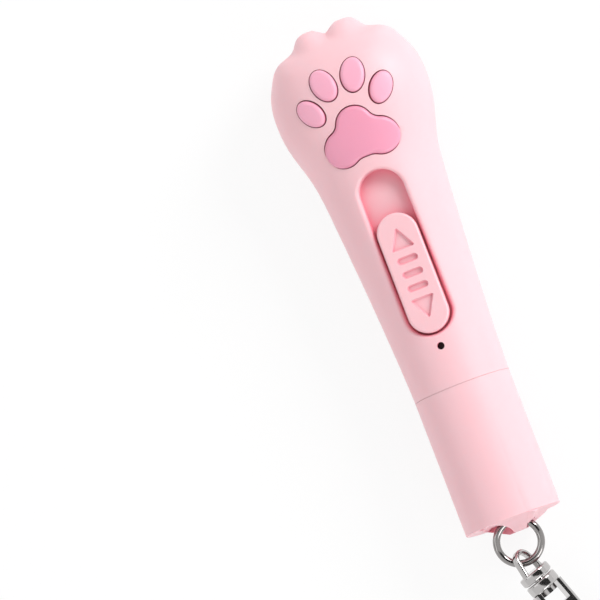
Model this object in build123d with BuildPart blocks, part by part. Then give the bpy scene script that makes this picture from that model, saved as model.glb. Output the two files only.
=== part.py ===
from build123d import *
import math
import os

os.makedirs("parts", exist_ok=True)

# Cat-paw laser pen, lying on its back with the pads up.
# +X is to the right, +Y runs along the barrel to the toes, +Z is up, all in millimetres.
# The origin is on the flat of the back shell, under the widest place of the paw.

# Casing, seen from above
barrel_radius = 10.0
casing_wall = 1.7
body_length = 61.4
neck_flare = 4.2
paw_half_width = 15.95
paw_reach = 13.8
tip_wall = 4.3

# Casing, seen from the side
neck_rise = 1.9
paw_front_height = 12.4
rest_flat_depth = 0.25
back_relief = 0.3

# Shape numbers of the paw, without a unit
flare_power = 1.35
swell_start_share = 0.74
plan_power = 2.475
section_power = 2.3
round_power = 2.0

# Toes: the angle of each from the barrel's axis, its rise and how far it spreads
inner_toe_angle = 14.4
inner_toe_rise = 2.5
inner_toe_spread = 16.9
outer_toe_angle = 45.0
outer_toe_rise = 0.57
outer_toe_spread = 10.0
toe_depth_spread = 29.0
toe_blend = 0.4

# Rings that the skin is lofted through
barrel_rings = 10
head_rings = 13
ring_points = 48
head_sweep_share = 8 / 9

# Clearances and cuts
seat_gap = 0.03
overrun = 3.0

# Pads
pad_gap = 0.1
pad_proud = 0.45
pad_edge_radius = 1.0
pad_seat_depth = 2.0
pad_bed_wall = 1.2
outer_pad_x = 7.45
outer_pad_y = -0.58
outer_pad_length = 6.8
outer_pad_width = 4.6
outer_pad_lean = 33.5
inner_pad_x = 3.1
inner_pad_y = 3.72
inner_pad_length = 7.2
inner_pad_width = 5.05
inner_pad_lean = 17.0
palm_top_y = -5.75
palm_side_x = 4.0
palm_side_y = -9.5
palm_base_y = -12.5
palm_lobe_radius = 3.85
palm_neck_radius = 2.6

# Slider and its recess
slider_length = 25.2
slider_width = 8.4
slider_height = 2.6
slider_side_gap = 0.4
slider_end_gap = 0.4
slider_travel = 8.9
slider_float = 0.12
slider_edge_radius = 0.5
slider_tail_y = -50.0
recess_floor_height = 7.75
recess_floor_wall = 1.3
recess_side_wall = 1.2
recess_rim_radius = 0.7
mark_depth = 0.6
mark_taper = 30.0
mark_pitch = 2.9
bar_length = 4.5
bar_width = 1.5
arrow_width = 5.2
arrow_height = 4.75
arrow_reach = 7.45
arrow_corner = 0.35
stem_width = 3.6
stem_length = 5.6
stem_gap = 0.3
carriage_width = 7.0
carriage_length = 11.0
carriage_height = 2.6
socket_depth = 1.8
wiper_thickness = 0.3
wiper_width = 3.2
wiper_length = 6.0
wiper_foot = 1.2
wiper_gap = 0.05

# Board and what is on it
board_width = 13.0
board_thickness = 1.0
board_top_height = 1.2
board_tail_gap = 4.0
board_length = 43.0
board_corner = 1.0
screw_inset_x = 2.2
screw_inset_y = 2.6
screw_shank_radius = 0.75
screw_head_radius = 1.5
screw_head_height = 1.0
screw_length = 5.0
screw_socket_radius = 0.6
screw_socket_depth = 0.5
boss_radius = 2.0
screw_hole_gap = 0.15
led_length = 1.6
led_width = 1.2
led_height = 0.8
chip_length = 4.9
chip_width = 3.9
chip_height = 1.5
chip_head_gap = 2.2
pipe_hole_radius = 0.75
pipe_gap = 0.03
pipe_recess = 1.1
pipe_flange_radius = 1.15
pipe_flange_height = 0.8
pipe_lift = 0.2
pipe_y = -53.0

# Battery, its tape and leads
battery_length = 28.0
battery_width = 11.2
battery_thickness = 4.6
battery_corner = 1.2
tape_thickness = 0.8
tape_inset = 1.0
battery_tail_gap = 9.0
lead_radius = 0.45
battery_lead_spread = 1.5
battery_lead_reach = 2.2
battery_lead_bend = 1.0

# Laser module
laser_radius = 4.5
laser_length = 16.0
laser_bore_radius = 3.2
laser_bore_length = 11.5
diode_bore_radius = 2.85
diode_base_radius = 2.8
diode_base_thickness = 1.2
diode_can_radius = 2.1
diode_can_length = 2.4
diode_inset = 0.3
pin_radius = 0.23
pin_length = 3.0
pin_spread = 1.27
lens_radius = 2.7
lens_thickness = 1.6
lens_crown = 0.5
lens_ring_length = 4.0
lens_ring_inset = 2.0
lens_seat_depth = 2.0
lens_stop_radius = 2.2
rib_thickness = 2.0
rib_tail_inset = 3.0
rib_head_inset = 3.5
aperture_radius = 2.6
aperture_shoulder = 0.5
bezel_wall = 0.8
bezel_length = 1.6
window_thickness = 0.8
window_depth = 1.9
laser_lead_step_share = 0.3

# Plug, its collar and the cap that covers it
cap_length = 28.6
cap_wall = 1.7
cap_end_wall = 6.0
cap_seam_gap = 0.05
cap_edge_radius = 0.25
spigot_length = 5.2
spigot_gap = 0.05
spigot_lead_in = 0.4
collar_depth = 3.6
collar_step = 0.7
collar_lip_height = 1.3
collar_lip_length = 1.4
collar_lip_inset = 1.2
plug_width = 12.0
plug_height = 4.5
plug_wall = 0.3
plug_length = 18.6
tongue_thickness = 1.95
tongue_recess = 0.4
contact_width = 1.0
contact_pitch = 2.25
contact_thickness = 0.2
contact_inset = 1.2
contact_solder_length = 2.2

# Lug at the cap's end and the ring through it
lug_height = 2.4
lug_base_half = 6.5
lug_top_half = 1.9
lug_base_depth = 9.0
lug_top_depth = 2.0
lug_edge_radius = 0.5
slot_half_width = 2.7
slot_half_height = 1.3
slot_x = 3.1
slot_drop = 1.45
slot_back = 2.0
slot_tilt = 21.0
tunnel_gap = 0.4
tunnel_half_length = 3.2
swing_up = 40.0
swing_down = 28.0
mouth_margin = 47.0
mouth_depth = 1.9
arm_margin = 31.0
ring_lift = 0.05
ring_shift = -0.6
ring_wire_radius = 0.76
ring_centre_radius = 4.48
ring_slit = 0.2

# Swivel eye
eye_angle = -5.0
clasp_angle = 18.5
clasp_roll = 20.0
eye_turn = 35.0
eye_slack = 1.2
eye_round = 1.45
eye_edge = 0.4
eye_foot_half = 2.2
eye_limb = 0.95
eye_thickness = 1.5
eye_opening = 4.1
swivel_radius = 3.4
swivel_disc = 1.9
swivel_gap = 0.25
swivel_edge = 0.45
post_radius = 1.1
post_gap = 0.06
post_head_radius = 1.8
post_head_height = 1.1
post_head_gap = 0.15

# Lobster clasp
hub_length = 2.2
window_length = 4.2
window_half_width = 2.2
clasp_thickness = 4.6
clasp_edge = 0.7
bridge_length = 2.4
claw_length = 20.4
claw_half_width = 6.5
claw_wall = 2.7
claw_opening_length = 14.6
pin_u = 4.3
pin_inset = 1.95
gate_pin_radius = 0.7
gate_pin_gap = 0.05
knuckle_radius = 1.5
knuckle_gap = 0.35
fork_width = 2.6
fork_gap = 0.1
fork_depth = 2.4
gate_start = 6.6
gate_end = 15.6
gate_gap = 0.25
gate_inset = 0.12
lever_gap = 0.65
lever_thickness = 4.0
thumb_radius = 1.6
thumb_u = 9.0
thumb_out = 0.5
spring_thickness = 0.3
spring_length = 2.9
spring_anchor = 0.75
floor_gap = 0.06
claw_dip_share = 0.5

# Places that follow from the sizes above
axis_z = barrel_radius
seam_y = -body_length
tail_y = seam_y - cap_length
seat_y = paw_reach - tip_wall
recess_floor_z = axis_z + recess_floor_height
board_top_z = axis_z + board_top_height
board_base_z = board_top_z - board_thickness
board_tail_y = seam_y + board_tail_gap
board_head_y = board_tail_y + board_length
barrel_axis = Plane(origin=(0, 0, axis_z), x_dir=(1, 0, 0), z_dir=(0, 1, 0))


def smooth(value):
    """Ease from 0 to 1 with level ends."""
    held = min(1.0, max(0.0, value))
    return held * held * (3 - 2 * held)


def station(along, inset):
    """Half width, front height, back height and roundness of the body, from seam (0) to paw (1)."""
    swell = smooth((along - swell_start_share) / (1 - swell_start_share))
    half_width = (1 - swell) * (barrel_radius + neck_flare * along**flare_power) + swell * paw_half_width
    front = (1 - swell) * (barrel_radius + neck_rise * along**flare_power) + swell * paw_front_height
    back = barrel_radius - back_relief * smooth(2 * along) + (back_relief + rest_flat_depth) * swell
    power = round_power + (section_power - round_power) * swell
    return half_width - inset, front - inset, back - inset, power


def toe_rise(across, up):
    """Rise of the toes at two angles, across and up from the barrel's axis, blended softly."""
    toes = [
        (inner_toe_angle, inner_toe_rise, inner_toe_spread),
        (outer_toe_angle, outer_toe_rise, outer_toe_spread),
    ]
    total = 1.0
    for angle, rise, spread in toes:
        for side in (-1, 1):
            fall = ((across - side * angle) / spread) ** 2 + (up / toe_depth_spread) ** 2
            total += math.exp(rise * (1 - fall) / toe_blend)
    return toe_blend * math.log(total)


def barrel_ring(along, inset):
    """Points round the body at one station."""
    half_width, front, back, power = station(along, inset)
    points = []
    for i in range(ring_points):
        turn = 2 * math.pi * i / ring_points
        across, up = math.cos(turn), math.sin(turn)
        depth = front if up > 0 else back
        radius = ((abs(across) / half_width) ** power + (abs(up) / depth) ** power) ** (-1 / power)
        points.append(Vector(radius * across, (along - 1) * body_length, axis_z + radius * up))
    return points


def head_ring(polar, inset, reach, with_toes):
    """Points round the paw's head at one angle from the barrel's axis, in radians."""
    half_width, front, back, power = station(1, inset)
    points = []
    for i in range(ring_points):
        turn = 2 * math.pi * i / ring_points
        ray = Vector(math.sin(polar) * math.cos(turn), math.cos(polar), math.sin(polar) * math.sin(turn))
        depth = front if ray.Z > 0 else back
        plan = (abs(ray.X) / half_width) ** plan_power + (abs(ray.Y) / reach) ** plan_power
        radius = (plan ** (power / plan_power) + (abs(ray.Z) / depth) ** power) ** (-1 / power)
        if with_toes:
            across = math.degrees(math.atan2(ray.X, ray.Y))
            radius += toe_rise(across, math.degrees(math.asin(ray.Z)))
        points.append(Vector(0, 0, axis_z) + ray * radius)
    return points


def paw_skin(inset=0.0, reach=paw_reach, with_toes=True):
    """Closed solid of the pen's body and paw, a loft through rings from the seam to the tip."""
    rings = [barrel_ring(i / barrel_rings, inset) for i in range(barrel_rings)]
    sweep = math.pi / 2 * head_sweep_share
    for i in range(head_rings):
        rings.append(head_ring(math.pi / 2 - sweep * i / (head_rings - 1), inset, reach, with_toes))
    last_y = min(point.Y for point in rings[-1])
    close_radius = aperture_radius / 2
    turns = [2 * math.pi * i / ring_points for i in range(ring_points)]
    tip = [(close_radius * math.cos(turn), axis_z + close_radius * math.sin(turn)) for turn in turns]
    rings.append([Vector(across, last_y, up) for across, up in tip])
    return Solid.make_loft([Wire([Edge.make_spline(ring, periodic=True)]) for ring in rings])


def front_height(x, y):
    """Height of the front skin over a point of the plan, without the toes."""
    half_width, front, _, power = station(min(1.0, 1 + y / body_length), 0)
    plan = (abs(x) / half_width) ** power
    if y > 0:
        plan = ((abs(x) / half_width) ** plan_power + (y / paw_reach) ** plan_power) ** (power / plan_power)
    return axis_z + front * (1 - plan) ** (1 / power)


outer_skin = paw_skin()
inner_skin = paw_skin(casing_wall, paw_reach - casing_wall, False)
raised_skin = paw_skin(-pad_proud, paw_reach + pad_proud)

# Outlines of the pads
toe_pads = {
    "toe_pad_outer_left": (-outer_pad_x, outer_pad_y, outer_pad_length, outer_pad_width, outer_pad_lean),
    "toe_pad_inner_left": (-inner_pad_x, inner_pad_y, inner_pad_length, inner_pad_width, inner_pad_lean),
    "toe_pad_inner_right": (inner_pad_x, inner_pad_y, inner_pad_length, inner_pad_width, -inner_pad_lean),
    "toe_pad_outer_right": (outer_pad_x, outer_pad_y, outer_pad_length, outer_pad_width, -outer_pad_lean),
}
toe_seats = {name: front_height(pad[0], pad[1]) - pad_seat_depth for name, pad in toe_pads.items()}
palm_seat = front_height(0, (palm_top_y + palm_side_y) / 2) - pad_seat_depth
pad_bed_z = min(list(toe_seats.values()) + [palm_seat]) - pad_bed_wall


def toe_outline(name, grow):
    """Oval of one toe pad on its seat, grown by a gap."""
    x, y, length, width, lean = toe_pads[name]
    with BuildSketch(Plane.XY.offset(toe_seats[name])) as outline:
        with Locations((x, y)):
            Ellipse(width / 2 + grow, length / 2 + grow, rotation=lean)
    return outline.sketch


def palm_outline(grow):
    """Three-lobed outline of the palm pad on its seat, grown by a gap."""
    with BuildSketch(Plane.XY.offset(palm_seat)) as outline:
        with Locations((0, palm_top_y), (palm_side_x, palm_side_y), (-palm_side_x, palm_side_y)):
            Circle(palm_lobe_radius)
        Polygon(
            (0, palm_top_y),
            (-palm_side_x, palm_side_y),
            (-palm_side_x, palm_base_y),
            (palm_side_x, palm_base_y),
            (palm_side_x, palm_side_y),
            align=None,
        )
        fillet(outline.vertices(), radius=palm_neck_radius)
        if grow:
            offset(amount=grow)
    return outline.sketch


# Slider recess, a round-ended trough with a slot in its floor
slider_centre_y = slider_tail_y + slider_length / 2
recess_length = slider_length + slider_travel + 2 * slider_end_gap
recess_width = slider_width + 2 * slider_side_gap
recess_y = slider_centre_y + slider_travel / 2
slot_length = stem_length + slider_travel + 2 * stem_gap
slot_width = stem_width + 2 * stem_gap

# Laser module's place in the paw, and the ribs that clamp it
laser_tail_y = seat_y - laser_length
rib_places = [laser_tail_y + rib_tail_inset, seat_y - rib_head_inset]


def module_ribs():
    """Two plates across the paw with a round hole for the laser barrel."""
    with BuildPart() as ribs:
        for y in rib_places:
            with BuildSketch(barrel_axis.offset(y)):
                Rectangle(2 * paw_half_width, 2 * paw_front_height)
                Circle(laser_radius + seat_gap, mode=Mode.SUBTRACT)
            extrude(amount=rib_thickness / 2, both=True)
    return ribs.part


def end_walls():
    """Blocks at both ends of the hollow: the tip in front of the laser, and the seat of the collar."""
    with BuildPart() as walls:
        with BuildSketch(barrel_axis.offset(seat_y)):
            Rectangle(2 * paw_half_width, 2 * paw_front_height)
        extrude(amount=paw_reach)
        with BuildSketch(barrel_axis.offset(seam_y + collar_depth)):
            Rectangle(2 * paw_half_width, 2 * paw_front_height)
        extrude(amount=-2 * collar_depth)
    return walls.part


board_screw_places = [
    (board_width / 2 - screw_inset_x, board_tail_y + screw_inset_y),
    (screw_inset_x - board_width / 2, board_head_y - screw_inset_y),
]

# Bore for the laser's window through the tip, and the groove for the collar's lip
bore_radius = barrel_radius - casing_wall - collar_step
lip_radius = bore_radius + collar_lip_height
lip_y = seam_y + collar_lip_inset
window_y = paw_reach - window_depth - bezel_length / 2
with BuildPart() as tip_bore:
    with BuildSketch(barrel_axis.offset(window_y)):
        Circle(aperture_radius)
    extrude(amount=paw_reach)
    with BuildSketch(barrel_axis.offset(seat_y - overrun)):
        Circle(aperture_radius - aperture_shoulder)
    extrude(amount=paw_reach)
with BuildPart() as collar_groove:
    with BuildSketch(barrel_axis.offset(seam_y - overrun)):
        Circle(bore_radius + seat_gap)
    extrude(amount=overrun + collar_depth + seat_gap)
    with BuildSketch(barrel_axis.offset(lip_y - seat_gap)):
        Circle(lip_radius + seat_gap)
    extrude(amount=collar_lip_length + 2 * seat_gap)

# Hollow under the front shell: it leaves the recess's trough, the pad bed, the ribs and the tip solid
with BuildPart() as front_hollow:
    add(inner_skin)
    split(bisect_by=Plane.XY.offset(axis_z), keep=Keep.TOP)
    with BuildSketch(Plane.XY.offset(recess_floor_z - recess_floor_wall)):
        with Locations((0, recess_y)):
            trough_width = recess_width + 2 * recess_side_wall
            SlotOverall(recess_length + 2 * recess_side_wall, trough_width, rotation=90)
    extrude(amount=paw_front_height, mode=Mode.SUBTRACT)
    with BuildSketch(Plane.XY.offset(pad_bed_z)):
        with Locations((0, recess_y + recess_length / 2)):
            Rectangle(2 * paw_half_width, body_length, align=(Align.CENTER, Align.MIN))
    extrude(amount=paw_front_height, mode=Mode.SUBTRACT)
    add(end_walls(), mode=Mode.SUBTRACT)
    add(module_ribs(), mode=Mode.SUBTRACT)

# Hollow over the back shell: it leaves the ribs, the screw bosses and the tip solid
with BuildPart() as back_hollow:
    add(inner_skin)
    split(bisect_by=Plane.XY.offset(axis_z), keep=Keep.BOTTOM)
    add(end_walls(), mode=Mode.SUBTRACT)
    add(module_ribs(), mode=Mode.SUBTRACT)
    with BuildSketch():
        with Locations(*board_screw_places):
            Circle(boss_radius)
    extrude(amount=axis_z, mode=Mode.SUBTRACT)

# Front shell of the casing
with BuildPart() as front_shell:
    add(outer_skin)
    split(bisect_by=Plane.XY.offset(axis_z), keep=Keep.TOP)
    with BuildSketch(Plane.XY.offset(recess_floor_z)):
        with Locations((0, recess_y)):
            SlotOverall(recess_length, recess_width, rotation=90)
    extrude(amount=paw_front_height, mode=Mode.SUBTRACT)
    rim_base_z = recess_floor_z + recess_rim_radius
    high = front_shell.edges().filter_by(lambda edge: edge.bounding_box().min.Z > rim_base_z)
    fillet(high.filter_by(lambda edge: edge.length > slider_width), radius=recess_rim_radius)
    add(front_hollow.part, mode=Mode.SUBTRACT)
    with BuildSketch(Plane.XY.offset(axis_z)):
        with Locations((0, recess_y)):
            Rectangle(slot_width, slot_length)
    extrude(amount=paw_front_height, mode=Mode.SUBTRACT)
    for name in toe_pads:
        extrude(toe_outline(name, pad_gap), amount=paw_front_height, mode=Mode.SUBTRACT)
    extrude(palm_outline(pad_gap), amount=paw_front_height, mode=Mode.SUBTRACT)
    with BuildSketch(Plane.XY.offset(axis_z)):
        with Locations((0, pipe_y)):
            Circle(pipe_hole_radius)
    extrude(amount=paw_front_height, mode=Mode.SUBTRACT)
    add(tip_bore.part, mode=Mode.SUBTRACT)
    add(collar_groove.part, mode=Mode.SUBTRACT)
front_shell.part.label = "paw_front_shell"
export_step(front_shell.part, "parts/paw_front_shell.step")

# Back shell of the casing, with the flat that the pen lies on
with BuildPart() as back_shell:
    add(outer_skin)
    split(bisect_by=Plane.XY.offset(axis_z), keep=Keep.BOTTOM)
    with BuildSketch(Plane.XY):
        with Locations((0, -paw_half_width)):
            Rectangle(2 * body_length, body_length, align=(Align.CENTER, Align.MIN))
    extrude(amount=-axis_z, mode=Mode.SUBTRACT)
    add(back_hollow.part, mode=Mode.SUBTRACT)
    with BuildSketch(Plane.XY.offset(board_base_z)):
        with Locations(*board_screw_places):
            Circle(screw_shank_radius + seat_gap)
    extrude(amount=-(screw_length - board_thickness), mode=Mode.SUBTRACT)
    add(tip_bore.part, mode=Mode.SUBTRACT)
    add(collar_groove.part, mode=Mode.SUBTRACT)
back_shell.part.label = "paw_back_shell"
export_step(back_shell.part, "parts/paw_back_shell.step")


def pad_solid(outline, seat_z):
    """Pad that stands on its seat and follows the skin a little proud of it, with a rounded rim."""
    with BuildPart() as pad:
        extrude(outline, amount=paw_front_height)
        add(raised_skin, mode=Mode.INTERSECT)
        rim = pad.edges().filter_by(lambda edge: edge.bounding_box().min.Z > seat_z + pad_seat_depth / 4)
        fillet(rim, radius=pad_edge_radius)
    return pad.part


# Toe pads and palm pad, soft mouldings glued into their pockets
for name in toe_pads:
    toe_pad = pad_solid(toe_outline(name, 0), toe_seats[name])
    toe_pad.label = name
    export_step(toe_pad, f"parts/{name}.step")
palm_pad = pad_solid(palm_outline(0), palm_seat)
palm_pad.label = "palm_pad"
export_step(palm_pad, "parts/palm_pad.step")

# Thumb slider, with sunk arrows and bars and a stem through the recess's floor
slider_base_z = recess_floor_z + slider_float
slider_top_z = slider_base_z + slider_height
carriage_top_z = recess_floor_z - recess_floor_wall - slider_float
with BuildPart() as mode_slider:
    with BuildSketch(Plane.XY.offset(slider_base_z)):
        with Locations((0, slider_centre_y)):
            SlotOverall(slider_length, slider_width, rotation=90)
    extrude(amount=slider_height)
    fillet(mode_slider.faces().sort_by(Axis.Z)[-1].edges(), radius=slider_edge_radius)
    with BuildSketch(Plane.XY.offset(slider_top_z)):
        with Locations((0, slider_centre_y)):
            with GridLocations(0, mark_pitch, 1, 3):
                SlotOverall(bar_length, bar_width)
    extrude(amount=-mark_depth, taper=mark_taper, mode=Mode.SUBTRACT)
    for way in (-1, 1):
        arrow_y = slider_centre_y + way * arrow_reach
        with BuildSketch(Plane.XY.offset(slider_top_z)) as arrow:
            Polygon(
                (-arrow_width / 2, arrow_y - way * arrow_height / 2),
                (arrow_width / 2, arrow_y - way * arrow_height / 2),
                (0, arrow_y + way * arrow_height / 2),
                align=None,
            )
            fillet(arrow.vertices(), radius=arrow_corner)
        extrude(amount=-mark_depth, taper=mark_taper, mode=Mode.SUBTRACT)
    with BuildSketch(Plane.XY.offset(slider_base_z)):
        with Locations((0, slider_centre_y)):
            Rectangle(stem_width, stem_length)
    extrude(amount=-(slider_base_z - carriage_top_z + socket_depth))
mode_slider.part.label = "mode_slider"
export_step(mode_slider.part, "parts/mode_slider.step")

# Carriage that holds the slider from below, with a socket for its stem
carriage_base_z = carriage_top_z - carriage_height
with BuildPart() as carriage:
    with BuildSketch(Plane.XY.offset(carriage_base_z)):
        with Locations((0, slider_centre_y)):
            Rectangle(carriage_width, carriage_length)
    extrude(amount=carriage_height)
    with BuildSketch(Plane.XY.offset(carriage_top_z)):
        with Locations((0, slider_centre_y)):
            Rectangle(stem_width + 2 * seat_gap, stem_length + 2 * seat_gap)
    extrude(amount=-socket_depth, mode=Mode.SUBTRACT)
carriage.part.label = "contact_carriage"
export_step(carriage.part, "parts/contact_carriage.step")

# Sprung contact under the carriage, which rubs on the board's tracks
wiper_top_z = carriage_base_z - wiper_thickness / 2
wiper_foot_z = board_top_z + wiper_gap + wiper_thickness / 2
with BuildPart() as wiper:
    with BuildSketch(Plane.YZ):
        with BuildLine():
            Polyline(
                (slider_centre_y - wiper_length / 2, wiper_top_z),
                (slider_centre_y + wiper_length / 2, wiper_top_z),
                (slider_centre_y - wiper_length / 2, wiper_foot_z),
                (slider_centre_y - wiper_length / 2 - wiper_foot, wiper_foot_z),
            )
        trace(line_width=wiper_thickness)
    extrude(amount=wiper_width / 2, both=True)
wiper.part.label = "wiper_contact"
export_step(wiper.part, "parts/wiper_contact.step")

# Circuit board on two screw bosses
board_y = board_tail_y + board_length / 2
with BuildPart() as board:
    with BuildSketch(Plane.XY.offset(board_base_z)):
        with Locations((0, board_y)):
            RectangleRounded(board_width, board_length, board_corner)
        with Locations(*board_screw_places):
            Circle(screw_shank_radius + screw_hole_gap, mode=Mode.SUBTRACT)
    extrude(amount=board_thickness)
board.part.label = "main_board"
export_step(board.part, "parts/main_board.step")

# Two pan-head screws that hold the board
with BuildPart() as screws:
    with BuildSketch(Plane.XY.offset(board_top_z)):
        with Locations(*board_screw_places):
            Circle(screw_head_radius)
    extrude(amount=screw_head_height)
    with BuildSketch(Plane.XY.offset(board_top_z)):
        with Locations(*board_screw_places):
            Circle(screw_shank_radius)
    extrude(amount=-screw_length)
    with BuildSketch(Plane.XY.offset(board_top_z + screw_head_height)):
        with Locations(*board_screw_places):
            RegularPolygon(screw_socket_radius, 6)
    extrude(amount=-screw_socket_depth, mode=Mode.SUBTRACT)
screws.part.label = "board_screws"
export_step(screws.part, "parts/board_screws.step")

# Charge indicator on the board, under its light pipe
with BuildPart() as led:
    with BuildSketch(Plane.XY.offset(board_top_z)):
        with Locations((0, pipe_y)):
            Rectangle(led_length, led_width)
    extrude(amount=led_height)
led.part.label = "indicator_led"
export_step(led.part, "parts/indicator_led.step")

# Light pipe from the indicator to its hole in the front shell
pipe_radius = pipe_hole_radius - pipe_gap
pipe_base_z = board_top_z + led_height + pipe_lift
pipe_top_z = front_height(0, pipe_y) - pipe_recess
pipe_seat_z = front_height(pipe_flange_radius, pipe_y) - casing_wall - pipe_lift
with BuildPart() as light_pipe:
    with BuildSketch(Plane.XY.offset(pipe_base_z)):
        with Locations((0, pipe_y)):
            Circle(pipe_radius)
    extrude(amount=pipe_top_z - pipe_base_z)
    with BuildSketch(Plane.XY.offset(pipe_seat_z)):
        with Locations((0, pipe_y)):
            Circle(pipe_flange_radius)
    extrude(amount=-pipe_flange_height)
light_pipe.part.label = "indicator_light_pipe"
export_step(light_pipe.part, "parts/indicator_light_pipe.step")

# Charging chip at the board's head end
with BuildPart() as chip:
    with BuildSketch(Plane.XY.offset(board_top_z)):
        with Locations((0, board_head_y - chip_head_gap - chip_width / 2)):
            Rectangle(chip_length, chip_width)
    extrude(amount=chip_height)
chip.part.label = "charge_chip"
export_step(chip.part, "parts/charge_chip.step")

# Flat lithium cell, taped to the board's underside
battery_tail_y = board_tail_y + battery_tail_gap
battery_y = battery_tail_y + battery_length / 2
battery_top_z = board_base_z - tape_thickness
with BuildPart() as tape:
    with BuildSketch(Plane.XY.offset(battery_top_z)):
        with Locations((0, battery_y)):
            Rectangle(battery_width - 2 * tape_inset, battery_length - 2 * tape_inset)
    extrude(amount=tape_thickness)
tape.part.label = "battery_tape"
export_step(tape.part, "parts/battery_tape.step")
with BuildPart() as battery:
    with BuildSketch(Plane.XZ.offset(-battery_tail_y)):
        with Locations((0, battery_top_z - battery_thickness / 2)):
            RectangleRounded(battery_width, battery_thickness, battery_corner)
    extrude(amount=-battery_length)
battery.part.label = "battery_cell"
export_step(battery.part, "parts/battery_cell.step")


def lead(points, bend):
    """Insulated wire along a bent path."""
    with BuildPart() as wire:
        with BuildLine() as path:
            FilletPolyline(*points, radius=bend)
        with BuildSketch(Plane(origin=path.line @ 0, z_dir=path.line % 0)):
            Circle(lead_radius)
        sweep()
    return wire.part


# Battery leads, from the cell's end up to the board
battery_head_y = battery_tail_y + battery_length
battery_lead_z = battery_top_z - battery_thickness / 2
for name, side in (("battery_lead_red", 1), ("battery_lead_black", -1)):
    x = side * battery_lead_spread
    turn_y = battery_head_y + battery_lead_reach
    battery_lead = lead(
        [(x, battery_head_y, battery_lead_z), (x, turn_y, battery_lead_z), (x, turn_y, board_base_z)],
        battery_lead_bend,
    )
    battery_lead.label = name
    export_step(battery_lead, f"parts/{name}.step")

# Laser diode: base, can and its legs
diode_y = laser_tail_y + diode_inset
with BuildPart() as diode:
    with BuildSketch(barrel_axis.offset(diode_y)):
        Circle(diode_base_radius)
    extrude(amount=diode_base_thickness)
    with BuildSketch(barrel_axis.offset(diode_y + diode_base_thickness)):
        Circle(diode_can_radius)
    extrude(amount=diode_can_length)
    with BuildSketch(barrel_axis.offset(diode_y)):
        with Locations((pin_spread, 0), (-pin_spread, 0), (0, pin_spread)):
            Circle(pin_radius)
    extrude(amount=-pin_length)
diode.part.label = "laser_diode"
export_step(diode.part, "parts/laser_diode.step")

# Laser leads, from two of the diode's legs to the board's end
pin_end_y = diode_y - pin_length
lead_z = (board_top_z + board_base_z) / 2
lead_run = pin_end_y - board_head_y
for name, side in (("laser_lead_red", 1), ("laser_lead_black", -1)):
    x = side * pin_spread
    near_y = pin_end_y - lead_run * laser_lead_step_share
    far_y = board_head_y + lead_run * laser_lead_step_share
    laser_lead = lead(
        [(x, pin_end_y, axis_z), (x, near_y, axis_z), (x, far_y, lead_z), (x, board_head_y, lead_z)],
        2 * lead_radius,
    )
    laser_lead.label = name
    export_step(laser_lead, f"parts/{name}.step")

# Laser barrel, a turned brass tube with two bores
with BuildPart() as laser_barrel:
    with BuildSketch(barrel_axis.offset(laser_tail_y)):
        Circle(laser_radius)
        Circle(diode_bore_radius, mode=Mode.SUBTRACT)
    extrude(amount=laser_length)
    with BuildSketch(barrel_axis.offset(seat_y)):
        Circle(laser_bore_radius)
    extrude(amount=-laser_bore_length, mode=Mode.SUBTRACT)
laser_barrel.part.label = "laser_barrel"
export_step(laser_barrel.part, "parts/laser_barrel.step")

# Lens and the ring that carries it in the barrel
ring_head_y = seat_y - lens_ring_inset
ring_tail_y = ring_head_y - lens_ring_length
with BuildPart() as lens_ring:
    with BuildSketch(barrel_axis.offset(ring_tail_y)):
        Circle(laser_bore_radius - seat_gap)
        Circle(lens_stop_radius, mode=Mode.SUBTRACT)
    extrude(amount=lens_ring_length)
    with BuildSketch(barrel_axis.offset(ring_head_y)):
        Circle(lens_radius + seat_gap)
    extrude(amount=-lens_seat_depth, mode=Mode.SUBTRACT)
lens_ring.part.label = "lens_ring"
export_step(lens_ring.part, "parts/lens_ring.step")
lens_base_y = ring_head_y - lens_seat_depth
lens_sphere = (lens_radius**2 + lens_crown**2) / (2 * lens_crown)
with BuildPart() as lens:
    with BuildSketch(barrel_axis.offset(lens_base_y)):
        Circle(lens_radius)
    extrude(amount=lens_thickness)
    with Locations((0, lens_base_y + lens_thickness - lens_sphere, axis_z)):
        Sphere(lens_sphere, mode=Mode.INTERSECT)
lens.part.label = "collimator_lens"
export_step(lens.part, "parts/collimator_lens.step")

# Clear window on the shoulder of the tip's bore, held by a bezel ring
with BuildPart() as window:
    with BuildSketch(barrel_axis.offset(window_y)):
        Circle(aperture_radius - seat_gap)
    extrude(amount=window_thickness)
window.part.label = "aperture_window"
export_step(window.part, "parts/aperture_window.step")
with BuildPart() as bezel:
    with BuildSketch(barrel_axis.offset(window_y + window_thickness)):
        Circle(aperture_radius - seat_gap)
        Circle(aperture_radius - bezel_wall, mode=Mode.SUBTRACT)
    extrude(amount=bezel_length)
bezel.part.label = "aperture_bezel"
export_step(bezel.part, "parts/aperture_bezel.step")

# Collar between the shells: it carries the plug and is the spigot for the cap
spigot_radius = barrel_radius - cap_wall - spigot_gap
with BuildPart() as collar:
    with BuildSketch(barrel_axis.offset(seam_y)):
        Circle(bore_radius)
    extrude(amount=collar_depth)
    with BuildSketch(barrel_axis.offset(seam_y)):
        Circle(spigot_radius)
    extrude(amount=-spigot_length)
    with BuildSketch(barrel_axis.offset(lip_y)):
        Circle(lip_radius)
    extrude(amount=collar_lip_length)
    with BuildSketch(barrel_axis.offset(seam_y + collar_depth)):
        Rectangle(plug_width + 2 * seat_gap, plug_height + 2 * seat_gap)
    extrude(amount=-(collar_depth + spigot_length), mode=Mode.SUBTRACT)
    chamfer(collar.faces().sort_by(Axis.Y)[0].outer_wire().edges(), length=spigot_lead_in)
collar.part.label = "usb_collar"
export_step(collar.part, "parts/usb_collar.step")

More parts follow.
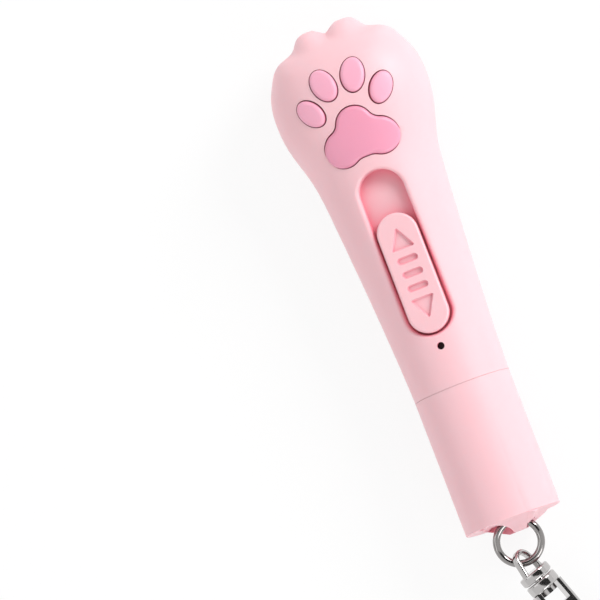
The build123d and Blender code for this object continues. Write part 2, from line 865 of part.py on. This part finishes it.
# Plug: steel shell, plastic tongue and four contacts
plug_tail_y = seam_y - plug_length
plug_head_y = seam_y + collar_depth
tongue_base_z = axis_z - plug_height / 2 + plug_wall + seat_gap
tongue_top_z = board_base_z - contact_thickness
with BuildPart() as plug_shell:
    with BuildSketch(barrel_axis.offset(plug_tail_y)):
        RectangleRounded(plug_width, plug_height, 2 * plug_wall)
        RectangleRounded(
            plug_width - 2 * plug_wall, plug_height - 2 * plug_wall, plug_wall, mode=Mode.SUBTRACT
        )
    extrude(amount=plug_head_y - plug_tail_y)
    with BuildSketch(Plane.XY.offset(axis_z)):
        with Locations((0, plug_tail_y + plug_width / 2)):
            with GridLocations(plug_width / 2, 0, 2, 1):
                Rectangle(plug_height / 2, plug_height / 2)
    extrude(amount=plug_height, mode=Mode.SUBTRACT)
plug_shell.part.label = "usb_shell"
export_step(plug_shell.part, "parts/usb_shell.step")
tongue_width = plug_width - 2 * plug_wall - 2 * seat_gap
with BuildPart() as tongue:
    with BuildSketch(Plane.XY.offset(tongue_base_z)):
        with Locations((0, plug_tail_y + tongue_recess)):
            Rectangle(
                tongue_width, plug_head_y - plug_tail_y - tongue_recess, align=(Align.CENTER, Align.MIN)
            )
    extrude(amount=tongue_top_z - tongue_base_z)
    fillet(tongue.edges().filter_by(Axis.Y).group_by(Axis.Z)[0], radius=plug_wall)
tongue.part.label = "usb_tongue"
export_step(tongue.part, "parts/usb_tongue.step")
contact_start_y = plug_tail_y + tongue_recess + contact_inset
with BuildPart() as contacts:
    with BuildSketch(Plane.XY.offset(tongue_top_z)):
        with Locations((0, contact_start_y)):
            with GridLocations(contact_pitch, 0, 4, 1):
                Rectangle(
                    contact_width,
                    board_tail_y + contact_solder_length - contact_start_y,
                    align=(Align.CENTER, Align.MIN),
                )
    extrude(amount=contact_thickness)
contacts.part.label = "usb_contacts"
export_step(contacts.part, "parts/usb_contacts.step")

# Chain at the tail: the ring leans down from its tunnel until the clasp's end lies on the floor
tunnel_y = tail_y + ring_lift
eye_top = ring_wire_radius + eye_slack
disc_start = eye_opening - eye_top
hub_start = disc_start + swivel_disc + swivel_gap
claw_start = hub_start + hub_length + window_length + bridge_length
clasp_end = claw_start + claw_length
chain_reach = ring_centre_radius * (1 + math.cos(math.radians(eye_angle)))
chain_reach += clasp_end * math.cos(math.radians(clasp_angle))
clasp_floor_z = clasp_thickness / 2 * math.cos(math.radians(clasp_roll)) + floor_gap
clasp_floor_z += claw_dip_share * claw_half_width * math.sin(math.radians(clasp_roll))
pitch = math.asin((axis_z - clasp_floor_z) / chain_reach)
ring_up = Vector(0, -math.sin(pitch), math.cos(pitch))
ring_back = Vector(0, -math.cos(pitch), -math.sin(pitch))
ring_centre = Vector(ring_shift, tunnel_y, axis_z) + ring_back * ring_centre_radius
ring_plane = Plane(origin=ring_centre, x_dir=(1, 0, 0), z_dir=ring_up)


def in_ring(angle):
    """Unit vector in the ring's plane, at an angle from straight back towards +X, in degrees."""
    return Vector(1, 0, 0) * math.sin(math.radians(angle)) + ring_back * math.cos(math.radians(angle))


# Jump ring, bent from round wire, with its slit inside the tunnel
slit_turn = math.degrees(ring_slit / ring_centre_radius)
ring_start = ring_plane.x_dir * math.sin(math.radians(slit_turn / 2))
ring_start -= ring_back * math.cos(math.radians(slit_turn / 2))
with BuildPart() as jump_ring:
    with BuildSketch(
        Plane(
            origin=ring_centre + ring_start * ring_centre_radius,
            x_dir=ring_start,
            z_dir=ring_up.cross(ring_start),
        )
    ):
        Circle(ring_wire_radius)
    revolve(axis=Axis(ring_centre, ring_up * -1), revolution_arc=360 - slit_turn)
jump_ring.part.label = "jump_ring"
export_step(jump_ring.part, "parts/jump_ring.step")


def ring_room(depth):
    """Flat outline of the ring with room round its wire, down to a depth from the tunnel's axis."""
    with BuildSketch(ring_plane) as room:
        Circle(ring_centre_radius + ring_wire_radius + tunnel_gap)
        Circle(ring_centre_radius - ring_wire_radius - tunnel_gap, mode=Mode.SUBTRACT)
        with Locations((0, ring_centre_radius)):
            across = 4 * ring_centre_radius
            Rectangle(across, depth, align=(Align.CENTER, Align.MAX), mode=Mode.INTERSECT)
    return room.sketch


# Lug: a hipped block on the cap's end
with BuildPart() as lug:
    with BuildSketch(Plane.XY):
        Polygon(
            (-lug_base_half, tail_y + 2 * cap_edge_radius),
            (-lug_base_half, tail_y),
            (-lug_top_half, tail_y - lug_height),
            (lug_top_half, tail_y - lug_height),
            (lug_base_half, tail_y),
            (lug_base_half, tail_y + 2 * cap_edge_radius),
            align=None,
        )
    extrude(amount=2 * axis_z)
    with BuildSketch(Plane.YZ):
        Polygon(
            (tail_y + 2 * cap_edge_radius, axis_z - lug_base_depth),
            (tail_y, axis_z - lug_base_depth),
            (tail_y - lug_height, axis_z - lug_top_depth),
            (tail_y - lug_height, axis_z + lug_top_depth),
            (tail_y, axis_z + lug_base_depth),
            (tail_y + 2 * cap_edge_radius, axis_z + lug_base_depth),
            align=None,
        )
    extrude(amount=2 * lug_base_half, both=True, mode=Mode.INTERSECT)
    fillet(lug.faces().sort_by(Axis.Y)[0].edges(), radius=lug_edge_radius)
    with BuildSketch(barrel_axis.offset(tail_y - 2 * lug_height)):
        Circle(barrel_radius - cap_edge_radius)
    extrude(amount=cap_length, mode=Mode.INTERSECT)

# Tail cap: a cup over the plug, with the lug, a slot open to the front and the ring's tunnel
swing_middle = Vector(ring_shift, tunnel_y, axis_z)
with BuildPart() as tail_cap:
    with BuildSketch(barrel_axis.offset(tail_y)):
        Circle(barrel_radius)
    extrude(amount=cap_length - cap_seam_gap)
    fillet(tail_cap.edges().group_by(Axis.Y)[0], radius=cap_edge_radius)
    add(lug.part)
    with BuildSketch(barrel_axis.offset(seam_y)):
        Circle(barrel_radius - cap_wall)
    extrude(amount=cap_end_wall - cap_length, mode=Mode.SUBTRACT)
    with BuildSketch(Plane.XY.offset(axis_z - slot_back)):
        with Locations((-slot_x, tail_y - slot_drop)):
            Ellipse(slot_half_width, slot_half_height, rotation=-slot_tilt)
    extrude(amount=2 * axis_z, mode=Mode.SUBTRACT)
    with BuildSketch(Plane(origin=swing_middle, x_dir=(0, 1, 0), z_dir=(1, 0, 0))):
        Circle(ring_wire_radius + tunnel_gap)
    extrude(amount=tunnel_half_length, both=True, mode=Mode.SUBTRACT)
    for depth, margin in ((mouth_depth, mouth_margin), (ring_centre_radius, arm_margin)):
        for way, swing in ((-1, swing_up), (1, swing_down)):
            turn_axis = Axis(swing_middle, (way, 0, 0))
            revolve(ring_room(depth), axis=turn_axis, revolution_arc=swing + margin, mode=Mode.SUBTRACT)
tail_cap.part.label = "tail_cap"
export_step(tail_cap.part, "parts/tail_cap.step")

# Frame of the swivel: its line, the ring's wire at its start, the eye turned and the clasp rolled about it
eye_origin = ring_centre + in_ring(eye_angle) * ring_centre_radius
clasp_line = in_ring(clasp_angle)
line_side = ring_up.cross(clasp_line)
eye_turned = math.radians(eye_turn)
eye_normal = line_side * math.cos(eye_turned) + ring_up * math.sin(eye_turned)
eye_plane = Plane(origin=eye_origin, x_dir=clasp_line, z_dir=eye_normal * -1)
clasp_rolled = math.radians(clasp_roll)
clasp_normal = ring_up * math.cos(clasp_rolled) + line_side * math.sin(clasp_rolled)
flat_plane = Plane(origin=eye_origin, x_dir=clasp_line, z_dir=clasp_normal)


def swivel_section(along):
    """Plane square to the swivel's line, at a distance from the ring's wire."""
    return Plane(origin=eye_origin + clasp_line * along, x_dir=ring_up, z_dir=clasp_line)


def swivel_drum(start, length):
    """Drum with rounded edges on the swivel's line."""
    with BuildPart() as drum:
        with BuildSketch(swivel_section(start)):
            Circle(swivel_radius)
        extrude(amount=length)
        fillet(drum.edges().filter_by(GeomType.CIRCLE), radius=swivel_edge)
    return drum.part


# Swivel eye: a loop round the ring's wire on a disc, with a post and rivet head behind it
eye_round_u = eye_round - eye_top
disc_middle = disc_start + swivel_disc / 2


def eye_outline(wider):
    """Rounded gable over the swivel's disc, wider all round by an amount."""
    with BuildSketch(eye_plane) as outline:
        with Locations((eye_round_u, 0)):
            Circle(eye_round + wider)
        with Locations((disc_middle, 0)):
            Rectangle(swivel_disc / 2, 2 * (eye_foot_half + wider))
        make_hull()
    return outline.sketch


with BuildPart() as swivel_eye:
    extrude(eye_outline(eye_limb), amount=eye_thickness / 2, both=True)
    extrude(eye_outline(0), amount=eye_thickness, both=True, mode=Mode.SUBTRACT)
    rims = swivel_eye.faces().filter_by(eye_plane).edges()
    fillet(rims.filter_by(lambda edge: edge.length > swivel_disc), radius=eye_edge)
    add(swivel_drum(disc_start, swivel_disc))
    with BuildSketch(swivel_section(disc_start + swivel_disc)):
        Circle(post_radius)
    extrude(amount=swivel_gap + hub_length + post_head_gap)
    with BuildSketch(swivel_section(hub_start + hub_length + post_head_gap)):
        Circle(post_head_radius)
    extrude(amount=post_head_height)
swivel_eye.part.label = "swivel_eye"
export_step(swivel_eye.part, "parts/swivel_eye.step")

# Outline values of the claw, along and across the clasp
claw_centre_u = claw_start + claw_length / 2
claw_inner_half = claw_half_width - claw_wall
hinge_u = claw_start + pin_u
hinge_v = pin_inset - claw_half_width
gate_from_u = claw_start + gate_start
gate_to_u = claw_start + gate_end
fork_end_u = hinge_u - knuckle_radius - knuckle_gap
fork_end_v = hinge_v + fork_depth
leaf_u = fork_end_u + seat_gap
leaf_v = fork_end_v + spring_anchor


def claw_outline(inset):
    """Oval of the claw with its opening, on the clasp's flat plane."""
    with BuildSketch(flat_plane) as outline:
        with Locations((claw_centre_u, 0)):
            Ellipse(claw_length / 2 - inset, claw_half_width - inset)
            Ellipse(claw_opening_length / 2 + inset, claw_inner_half + inset, mode=Mode.SUBTRACT)
    return outline.sketch


# Frame of the clasp: two bars beside the rivet's window, and the bridge to the claw
frame_length = window_length + bridge_length
frame_start = claw_start - frame_length
with BuildPart() as clasp_frame:
    with BuildSketch(flat_plane):
        with Locations((frame_start, 0)):
            Rectangle(frame_length + claw_wall, 2 * swivel_radius, align=(Align.MIN, Align.CENTER))
    extrude(amount=(clasp_thickness - clasp_edge) / 2, both=True)
    fillet(clasp_frame.edges().filter_by(Axis(eye_origin, clasp_line)), radius=clasp_edge)
    with BuildSketch(flat_plane):
        with Locations((frame_start, 0)):
            Rectangle(window_length, 2 * window_half_width, align=(Align.MIN, Align.CENTER))
        with Locations((claw_centre_u, 0)):
            Ellipse(claw_opening_length / 2, claw_inner_half)
    extrude(amount=clasp_thickness, both=True, mode=Mode.SUBTRACT)

# Clasp body: hub on the post, frame, fork and the hook of the claw
with BuildPart() as clasp_body:
    extrude(claw_outline(0), amount=clasp_thickness / 2, both=True)
    fillet(clasp_body.edges().filter_by(GeomType.ELLIPSE), radius=clasp_edge)
    add(clasp_frame.part)
    add(swivel_drum(hub_start, hub_length))
    with BuildSketch(swivel_section(hub_start)):
        Circle(post_radius + post_gap)
    extrude(amount=hub_length, mode=Mode.SUBTRACT)
    with BuildSketch(flat_plane):
        with Locations((gate_from_u, 0)):
            Rectangle(gate_to_u - gate_from_u, claw_length, align=(Align.MIN, Align.MAX))
    extrude(amount=clasp_thickness, both=True, mode=Mode.SUBTRACT)
    with BuildSketch(flat_plane):
        with Locations((fork_end_u, fork_end_v)):
            Rectangle(gate_from_u - fork_end_u, claw_length, align=(Align.MIN, Align.MAX))
        with Locations((fork_end_u, leaf_v + seat_gap)):
            Rectangle(spring_thickness + 2 * seat_gap, claw_half_width, align=(Align.MIN, Align.MAX))
    extrude(amount=fork_width / 2 + fork_gap, both=True, mode=Mode.SUBTRACT)
    with BuildSketch(flat_plane):
        with Locations((hinge_u, hinge_v)):
            Circle(gate_pin_radius + seat_gap)
    extrude(amount=clasp_thickness, both=True, mode=Mode.SUBTRACT)
clasp_body.part.label = "clasp_body"
export_step(clasp_body.part, "parts/clasp_body.step")


def gate_bar(from_u, top_v, thickness):
    """Length of the claw's oval that the gate is made of."""
    with BuildPart() as bar:
        extrude(claw_outline(gate_inset), amount=thickness / 2, both=True)
        with BuildSketch(flat_plane):
            with Locations((from_u, top_v)):
                Rectangle(gate_to_u - gate_gap - from_u, claw_length, align=(Align.MIN, Align.MAX))
        extrude(amount=clasp_thickness, both=True, mode=Mode.INTERSECT)
    return bar.part


# Gate: a lever with a knuckle on the pin and a thumb tab
thumb_v = -claw_half_width * math.sqrt(1 - ((claw_start + thumb_u - claw_centre_u) / (claw_length / 2)) ** 2)
with BuildPart() as clasp_gate:
    add(gate_bar(hinge_u, hinge_v + knuckle_radius, fork_width))
    add(gate_bar(gate_from_u + lever_gap, 0, lever_thickness))
    with BuildSketch(flat_plane):
        with Locations((hinge_u, hinge_v)):
            Circle(knuckle_radius)
    extrude(amount=fork_width / 2, both=True)
    with BuildSketch(flat_plane):
        with Locations((leaf_u + spring_thickness + seat_gap, hinge_v)):
            Rectangle(claw_length, claw_length, align=(Align.MAX, Align.CENTER))
    extrude(amount=clasp_thickness, both=True, mode=Mode.SUBTRACT)
    with BuildSketch(flat_plane):
        with Locations((claw_start + thumb_u, thumb_v - thumb_out)):
            Circle(thumb_radius)
    extrude(amount=fork_width / 2, both=True)
    with BuildSketch(flat_plane):
        with Locations((hinge_u, hinge_v)):
            Circle(gate_pin_radius + gate_pin_gap)
    extrude(amount=clasp_thickness, both=True, mode=Mode.SUBTRACT)
clasp_gate.part.label = "clasp_gate"
export_step(clasp_gate.part, "parts/clasp_gate.step")

# Pin that the gate turns on, riveted in the fork's cheeks
with BuildPart() as gate_pin:
    with BuildSketch(flat_plane):
        with Locations((hinge_u, hinge_v)):
            Circle(gate_pin_radius)
    extrude(amount=clasp_thickness / 2, both=True)
gate_pin.part.label = "gate_pin"
export_step(gate_pin.part, "parts/gate_pin.step")

# Leaf spring in the fork, which presses on the flat of the gate's knuckle
with BuildPart() as gate_spring:
    with BuildSketch(flat_plane):
        with Locations((leaf_u, leaf_v)):
            Rectangle(spring_thickness, spring_length, align=(Align.MIN, Align.MAX))
    extrude(amount=fork_width / 2, both=True)
gate_spring.part.label = "gate_spring"
export_step(gate_spring.part, "parts/gate_spring.step")
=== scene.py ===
import math

import bmesh
import bpy
from mathutils import Matrix, Vector


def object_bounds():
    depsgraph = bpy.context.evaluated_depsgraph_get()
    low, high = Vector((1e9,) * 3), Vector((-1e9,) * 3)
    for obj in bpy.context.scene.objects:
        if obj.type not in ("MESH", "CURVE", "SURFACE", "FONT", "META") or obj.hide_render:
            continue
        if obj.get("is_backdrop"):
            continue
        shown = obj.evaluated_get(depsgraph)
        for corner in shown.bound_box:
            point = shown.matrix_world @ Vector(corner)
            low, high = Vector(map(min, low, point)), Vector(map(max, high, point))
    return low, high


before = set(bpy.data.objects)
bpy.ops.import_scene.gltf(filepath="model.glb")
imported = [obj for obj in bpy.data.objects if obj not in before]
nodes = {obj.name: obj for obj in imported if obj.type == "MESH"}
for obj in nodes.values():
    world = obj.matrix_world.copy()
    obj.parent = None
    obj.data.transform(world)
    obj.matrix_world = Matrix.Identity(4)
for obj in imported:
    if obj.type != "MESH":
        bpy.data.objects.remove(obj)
cad_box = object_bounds()
scene = bpy.context.scene
scene.view_settings.view_transform = "Standard"

# Camera: a long lens nearly straight above the pen, which lies on its back.
# It leans a little to the pen's right and to its tail, and the pen runs up to the left.
lean_right = math.radians(6.5)
lean_tail = math.radians(4.6)
roll = math.radians(21.1)
distance = 2.7
view_width = 0.120
film_width = 36
aim = Vector((-0.0242, -0.0334, 0.010))
sight = Vector((math.tan(lean_right), -math.tan(lean_tail), 1)).normalized()
up = Vector((math.sin(roll), math.cos(roll), 0))
up = (up - sight * up.dot(sight)).normalized()
across = up.cross(sight)
camera = bpy.data.objects.new("camera", bpy.data.cameras.new("camera"))
camera.data.lens = film_width * distance / view_width
camera.data.clip_end = 10
camera.matrix_world = Matrix((across, up, sight)).transposed().to_4x4()
camera.location = aim + sight * distance
scene.collection.objects.link(camera)
scene.camera = camera


# Casing: two halves moulded in pale pink plastic with a fine satin grain.
# They meet along the pen's sides and clamp the laser and the plug's collar between them.
# Painted shade makes the plastic rosier and darker in gaps and corners, where light bounces between its
# walls.
class Wire:
    """A socket of a material: sums, differences and products of wires add Math nodes."""

    def __init__(self, tree, socket=None):
        self.tree, self.socket = tree, socket

    def make(self, kind, settings=None, sockets=None, output=0):
        """New node with its settings first, then its sockets' values or links."""
        node = self.tree.nodes.new(kind)
        for name, value in (settings or {}).items():
            setattr(node, name, value)
        for name, value in (sockets or {}).items():
            if isinstance(value, Wire):
                self.tree.links.new(value.socket, node.inputs[name])
            else:
                node.inputs[name].default_value = value
        return Wire(self.tree, node.outputs[output])

    def maths(self, operation, first, second):
        return self.make("ShaderNodeMath", {"operation": operation}, {0: first, 1: second})

    def __add__(self, other):
        return self.maths("ADD", self, other)

    def __sub__(self, other):
        return self.maths("SUBTRACT", self, other)

    def __rsub__(self, other):
        return self.maths("SUBTRACT", other, self)

    def __mul__(self, other):
        return self.maths("MULTIPLY", self, other)

    __radd__ = __add__
    __rmul__ = __mul__


def bare(name, constants):
    """New material: its shader with constant values set, and the wire that makes its nodes."""
    material = bpy.data.materials.new(name)
    material.use_nodes = True
    shader = material.node_tree.nodes["Principled BSDF"]
    for socket, value in constants.items():
        shader.inputs[socket].default_value = value
    return material, Wire(material.node_tree), shader


def grain(size_mm):
    """Fine grain that a spark-eroded mould leaves."""

    def height(place):
        sockets = {"Vector": place, "Scale": 1000 / size_mm, "Detail": 3.0}
        return place.make("ShaderNodeTexNoise", None, sockets)

    return height


drift_scale = 45.0
relief_gloss, drift_gloss = 0.12, 0.10
# How fast the painted shade in gaps and corners fades out as they open.
shade_slope, shade_start = 1.7, 0.65


def finish(name, colours, rough, relief, depth_mm, constants=None, drawn=False, shade=None):
    """Material that drifts between two colours, with a relief that also makes its gloss uneven.

    Where it is drawn, the relief chooses the colour instead of the slow drift.
    Shade is a painted shade: the colour that ambient occlusion mixes in at a gap or a corner, and how far
    off the gap's other side may be.
    """
    material, wire, shader = bare(name, constants or {})
    place = wire.make("ShaderNodeTexCoord", output="Object")
    drift = wire.make("ShaderNodeTexNoise", None, {"Vector": place, "Scale": drift_scale, "Detail": 2.0})
    height = relief(place)
    mix = {0: height if drawn else drift, 6: (*colours[0], 1), 7: (*colours[1], 1)}
    tone = wire.make("ShaderNodeMix", {"data_type": "RGBA"}, mix, output=2)
    # Painted shade: ambient occlusion mixes a darker colour into the base colour in gaps and corners.
    if shade:
        painted_shade_colour, reach = shade
        open_share = wire.make("ShaderNodeAmbientOcclusion", None, {"Distance": reach}, output="AO")
        mix = {0: open_share * shade_slope - shade_start, 6: (*painted_shade_colour, 1), 7: tone}
        tone = wire.make("ShaderNodeMix", {"data_type": "RGBA"}, mix, output=2)
    gloss = (height - 0.5) * relief_gloss + (drift - 0.5) * drift_gloss + rough
    bump = {"Height": height, "Strength": 0.25, "Distance": depth_mm / 1000}
    normal = wire.make("ShaderNodeBump", None, bump)
    for part, socket in ((tone, "Base Color"), (gloss, "Roughness"), (normal, "Normal")):
        wire.tree.links.new(part.socket, shader.inputs[socket])
    return material


weld_reach = 0.000002


def dress(material, *names, crease=35):
    """Give CAD nodes their material, and round their shading where faces meet at less than the crease."""
    for name in names:
        piece = nodes[name]
        piece.data.materials.clear()
        piece.data.materials.append(material)
        weld = piece.modifiers.new("weld", "WELD")
        weld.merge_threshold = weld_reach
        split = piece.modifiers.new("crease", "EDGE_SPLIT")
        split.split_angle = math.radians(crease)
        split.use_edge_sharp = False
        for face in piece.data.polygons:
            face.use_smooth = True


soft = {"Subsurface Weight": 0.2, "Subsurface Scale": 0.0012, "Subsurface Radius": (1.0, 0.35, 0.35)}
casing_pinks = (0.875, 0.54, 0.58), (0.855, 0.515, 0.555)
# Painted shade: a darker rose that ambient occlusion mixes into the casing's gaps and corners.
painted_corner_shade = (0.84, 0.29, 0.36), 0.005
casing_pink = finish("casing_pink", casing_pinks, 0.46, grain(0.22), 0.012, soft, shade=painted_corner_shade)
dress(casing_pink, "paw_front_shell", "paw_back_shell")

# Paw pads: a softer and darker pink moulding, each glued on a seat in its own pocket of the front half.
# They stand a little proud with a broad rounded rim, and a thin gap runs all round them, darkened with a
# painted maroon shade.
palm_pinks = (0.82, 0.335, 0.465), (0.79, 0.31, 0.435)
# The toes' lighter pink than the palm's is painted sheen on the same moulding.
toe_pinks = (0.865, 0.42, 0.545), (0.845, 0.39, 0.515)
# Painted shade: a dark maroon that ambient occlusion mixes into the pads at the thin gap round them.
painted_gap_shade = (0.30, 0.01, 0.06), 0.0006
dress(finish("palm_pink", palm_pinks, 0.42, grain(0.18), 0.010, soft, shade=painted_gap_shade), "palm_pad")
toe_pink = finish("toe_pink", toe_pinks, 0.42, grain(0.18), 0.010, soft, shade=painted_gap_shade)
for toe in ("outer_left", "inner_left", "inner_right", "outer_right"):
    dress(toe_pink, "toe_pad_" + toe)


# Thumb slider: the casing's own pink plastic, with arrows and bars sunk into its face.
# Its stem goes through the recess's floor into a natural white carriage, which holds
# a gilt spring contact that wipes over the board.
def streaks(coarse_mm, fine_mm, along):
    """Lines that a brush, a lathe or a polishing wheel leaves, drawn out along X, Y or Z."""
    scale = [1000 / coarse_mm if axis == along else 1000 / fine_mm for axis in "XYZ"]

    def height(place):
        lines = place.make("ShaderNodeMapping", None, {"Vector": place, "Scale": scale})
        return place.make("ShaderNodeTexNoise", None, {"Vector": lines, "Scale": 1.0, "Detail": 4.0})

    return height


metal = {"Metallic": 1.0}
dress(casing_pink, "mode_slider")
natural_whites = (0.83, 0.82, 0.79), (0.80, 0.79, 0.76)
natural_white = finish("natural_white", natural_whites, 0.45, grain(0.2), 0.008)
dress(natural_white, "contact_carriage")
gilt_tones = (0.80, 0.58, 0.22), (0.74, 0.52, 0.19)
dress(finish("gilt_strip", gilt_tones, 0.26, streaks(4.0, 0.06, "Y"), 0.003, metal), "wiper_contact")

# Charge indicator: a smoked light pipe fills the small hole below the recess.
# Under it a white moulded lamp with a clear dome is soldered to the board.
smoke_tones = (0.010, 0.003, 0.004), (0.008, 0.002, 0.003)
dress(finish("smoked_pipe", smoke_tones, 0.5, grain(0.3), 0.002), "indicator_light_pipe")
dress(natural_white, "indicator_led")


# Circuit board: green solder mask over etched copper, on two bosses of the back half.
# Two plain steel screws hold it, and a black moulded charging chip is soldered to it.
def tracks(place):
    """Etched tracks that show through the mask as paler lines, in staggered runs."""
    sizes = {"Scale": 1.0, "Brick Width": 0.0042, "Row Height": 0.0009, "Mortar Size": 0.00011}
    sides = {"Color1": (0, 0, 0, 1), "Color2": (0, 0, 0, 1), "Mortar": (1, 1, 1, 1), "Mortar Smooth": 0.3}
    return place.make("ShaderNodeTexBrick", None, {"Vector": place, **sizes, **sides}, output="Color")


mask_greens = (0.016, 0.13, 0.05), (0.035, 0.23, 0.09)
dress(finish("solder_mask", mask_greens, 0.32, tracks, 0.03, drawn=True), "main_board")
moulded_blacks = (0.018, 0.018, 0.020), (0.014, 0.014, 0.016)
moulded_black = finish("moulded_black", moulded_blacks, 0.5, grain(0.15), 0.008)
dress(moulded_black, "charge_chip")
steel_tones = (0.58, 0.58, 0.60), (0.53, 0.53, 0.55)
dress(finish("turned_steel", steel_tones, 0.30, streaks(0.05, 0.6, "Z"), 0.003, metal), "board_screws")


# Battery: a laminated foil pouch, lightly crinkled, that foam tape holds to the back half.
# A red and a black lead run from it to the board, and two more from the board to the laser.
def cells(size_mm):
    """Crinkles of a foil or pores of a foam: raised cells with sunk lines between them."""

    def height(place):
        sockets = {"Vector": place, "Scale": 1000 / size_mm}
        return place.make("ShaderNodeTexVoronoi", {"feature": "SMOOTH_F1"}, sockets, output="Distance")

    return height


foil_tones = (0.62, 0.63, 0.65), (0.57, 0.58, 0.60)
dress(finish("pouch_foil", foil_tones, 0.36, cells(2.2), 0.12, metal), "battery_cell")
foam_tones = (0.72, 0.69, 0.62), (0.64, 0.61, 0.54)
dress(finish("foam_tape", foam_tones, 0.8, cells(0.3), 0.10), "battery_tape")
lead_reds = (0.50, 0.03, 0.03), (0.44, 0.025, 0.025)
dress(finish("lead_red", lead_reds, 0.4, grain(0.3), 0.004), "battery_lead_red", "laser_lead_red")
dress(moulded_black, "battery_lead_black", "laser_lead_black")

# Laser: a brass barrel turned on a lathe, clamped by the casing's ribs.
# The diode's steel can is pressed in behind, and a glass lens is held in front by a screwed ring.
turned_brass = finish("turned_brass", gilt_tones, 0.28, streaks(0.05, 2.0, "Y"), 0.004, metal)
dress(turned_brass, "laser_barrel", "lens_ring")
drawn_steel = finish("drawn_steel", steel_tones, 0.28, streaks(3.0, 0.07, "Y"), 0.003, metal)
dress(drawn_steel, "laser_diode")
clear = {"Roughness": 0.03, "Transmission Weight": 1.0, "IOR": 1.5}
glass_tones = (0.93, 0.96, 0.97), (0.91, 0.95, 0.96)
window_glass = finish("window_glass", glass_tones, 0.03, grain(1.5), 0.0002, clear)
dress(window_glass, "collimator_lens")

# Aperture: a clear window at the bottom of the tip's bore, which keeps dust off the lens.
# A black moulded bezel ring, pressed into the bore, holds it.
dress(window_glass, "aperture_window")
dress(moulded_black, "aperture_bezel")

# Plug: a shell folded from steel strip round a white tongue with four gilt contacts.
# A white moulded collar holds it, and sits with its lip in a groove of both casing halves.
dress(natural_white, "usb_collar", "usb_tongue")
dress(drawn_steel, "usb_shell")
dress(finish("gilt_contact", gilt_tones, 0.2, streaks(3.0, 0.08, "Y"), 0.002, metal), "usb_contacts")

# Tail cap: the casing's own pink plastic, moulded as a cup that pulls off the plug.
# Its closed end has a hipped lug with a slot and a cross tunnel for the ring.
dress(casing_pink, "tail_cap")

# Key-ring chain: a ring of round wire, a swivel eye bent from strip, and a cast lobster clasp.
# All are polished and plated with bright nickel, and the gate turns on a pin against a leaf spring.
nickel_tones = (0.57, 0.555, 0.55), (0.52, 0.505, 0.50)
# The ring's wire takes a darker grey than the other plated parts, a painted dark reflection.
wire_tones = (0.36, 0.345, 0.34), (0.30, 0.285, 0.28)
nickel = finish("nickel_plate", nickel_tones, 0.09, streaks(1.2, 0.12, "Y"), 0.002, metal)
dress(nickel, "swivel_eye", "clasp_body", "clasp_gate", "gate_pin", "gate_spring")
dress(finish("plated_wire", wire_tones, 0.10, streaks(1.2, 0.12, "Y"), 0.002, metal), "jump_ring")

# Floor: a wide sheet of white paper, which shows as the white of the picture.
# Its glow is only for the eye and for reflections, and the pen's shadow stays on it.
paper_white = {"Base Color": (0.93, 0.93, 0.93, 1), "Roughness": 0.9, "Specular IOR Level": 0.0}
glow_share = 0.86
floor_half = 2.0
floor_drop = 0.00002
paper, wire, shader = bare("white_paper", paper_white)
eye_ray = wire.make("ShaderNodeLightPath", output="Is Camera Ray")
outputs = eye_ray.socket.node.outputs
seen = eye_ray + Wire(wire.tree, outputs["Is Glossy Ray"]) + Wire(wire.tree, outputs["Is Transmission Ray"])
glow = wire.make("ShaderNodeEmission", None, {"Color": (1, 1, 1, 1), "Strength": 1.0})
sheet = Wire(wire.tree, shader.outputs[0])
blend = wire.make("ShaderNodeMixShader", None, {0: seen * glow_share, 1: sheet, 2: glow})
wire.tree.links.new(blend.socket, wire.tree.nodes["Material Output"].inputs["Surface"])


def sheet_of(name, half_width, half_length, turn, place, material):
    """Flat sheet beside the object, turned and moved into place."""
    bm = bmesh.new()
    bmesh.ops.create_grid(bm, x_segments=1, y_segments=1, size=1.0)
    bmesh.ops.scale(bm, verts=bm.verts, vec=(half_width, half_length, 1))
    bmesh.ops.rotate(bm, verts=bm.verts, cent=(0, 0, 0), matrix=turn)
    bmesh.ops.translate(bm, verts=bm.verts, vec=place)
    item = bpy.data.objects.new(name, bpy.data.meshes.new(name))
    bm.to_mesh(item.data)
    bm.free()
    item.data.materials.append(material)
    scene.collection.objects.link(item)
    item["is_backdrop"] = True
    return item


sheet_of("floor", floor_half, floor_half, Matrix.Identity(3), (0, 0, -floor_drop), paper)

# Light: an even white studio, a soft lamp at the pen's right, and weak ones at its left and its tail.
# Each lamp is square and points at the middle of the pen.
studio_strength = 0.86
world = bpy.data.worlds.new("studio")
world.use_nodes = True
scene.world = world
studio = world.node_tree.nodes["Background"].inputs
studio["Color"].default_value = (1, 1, 1, 1)
studio["Strength"].default_value = studio_strength
pen_middle = Vector((0, -0.03, 0.01))
for name, place, size, watts in (
    ("key", Vector((0.55, 0.22, 0.40)), 0.3, 3.8),
    ("fill", Vector((-0.40, -0.05, 0.45)), 0.4, 0.5),
    ("tail", Vector((0.20, -0.60, 0.30)), 0.35, 1.2),
):
    lamp = bpy.data.objects.new(name, bpy.data.lights.new(name, "AREA"))
    lamp.data.size, lamp.data.energy = size, watts
    lamp.location = place
    lamp.rotation_euler = (pen_middle - place).to_track_quat("-Z", "Y").to_euler()
    scene.collection.objects.link(lamp)

# Flags: sheets of black card round the pen, for the bright plating to reflect.
# They face the pen, and no camera sees them.
black_card = bare("black_card", {"Base Color": (0.02, 0.02, 0.02, 1), "Roughness": 0.9})[0]
for name, place, half_width, half_length in (
    ("flag_right", Vector((0.24, 0.05, 0.70)), 0.30, 0.50),
    ("flag_left", Vector((-0.45, -0.10, 0.55)), 0.10, 0.42),
    ("flag_tail", Vector((0.08, -0.60, 0.52)), 0.30, 0.08),
):
    turn = place.to_track_quat("Z", "Y").to_matrix()
    sheet_of(name, half_width, half_length, turn, place, black_card).visible_camera = False

size = {
    "cad": [list(corner) for corner in cad_box],
    "visual": [list(corner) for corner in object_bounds()],
}
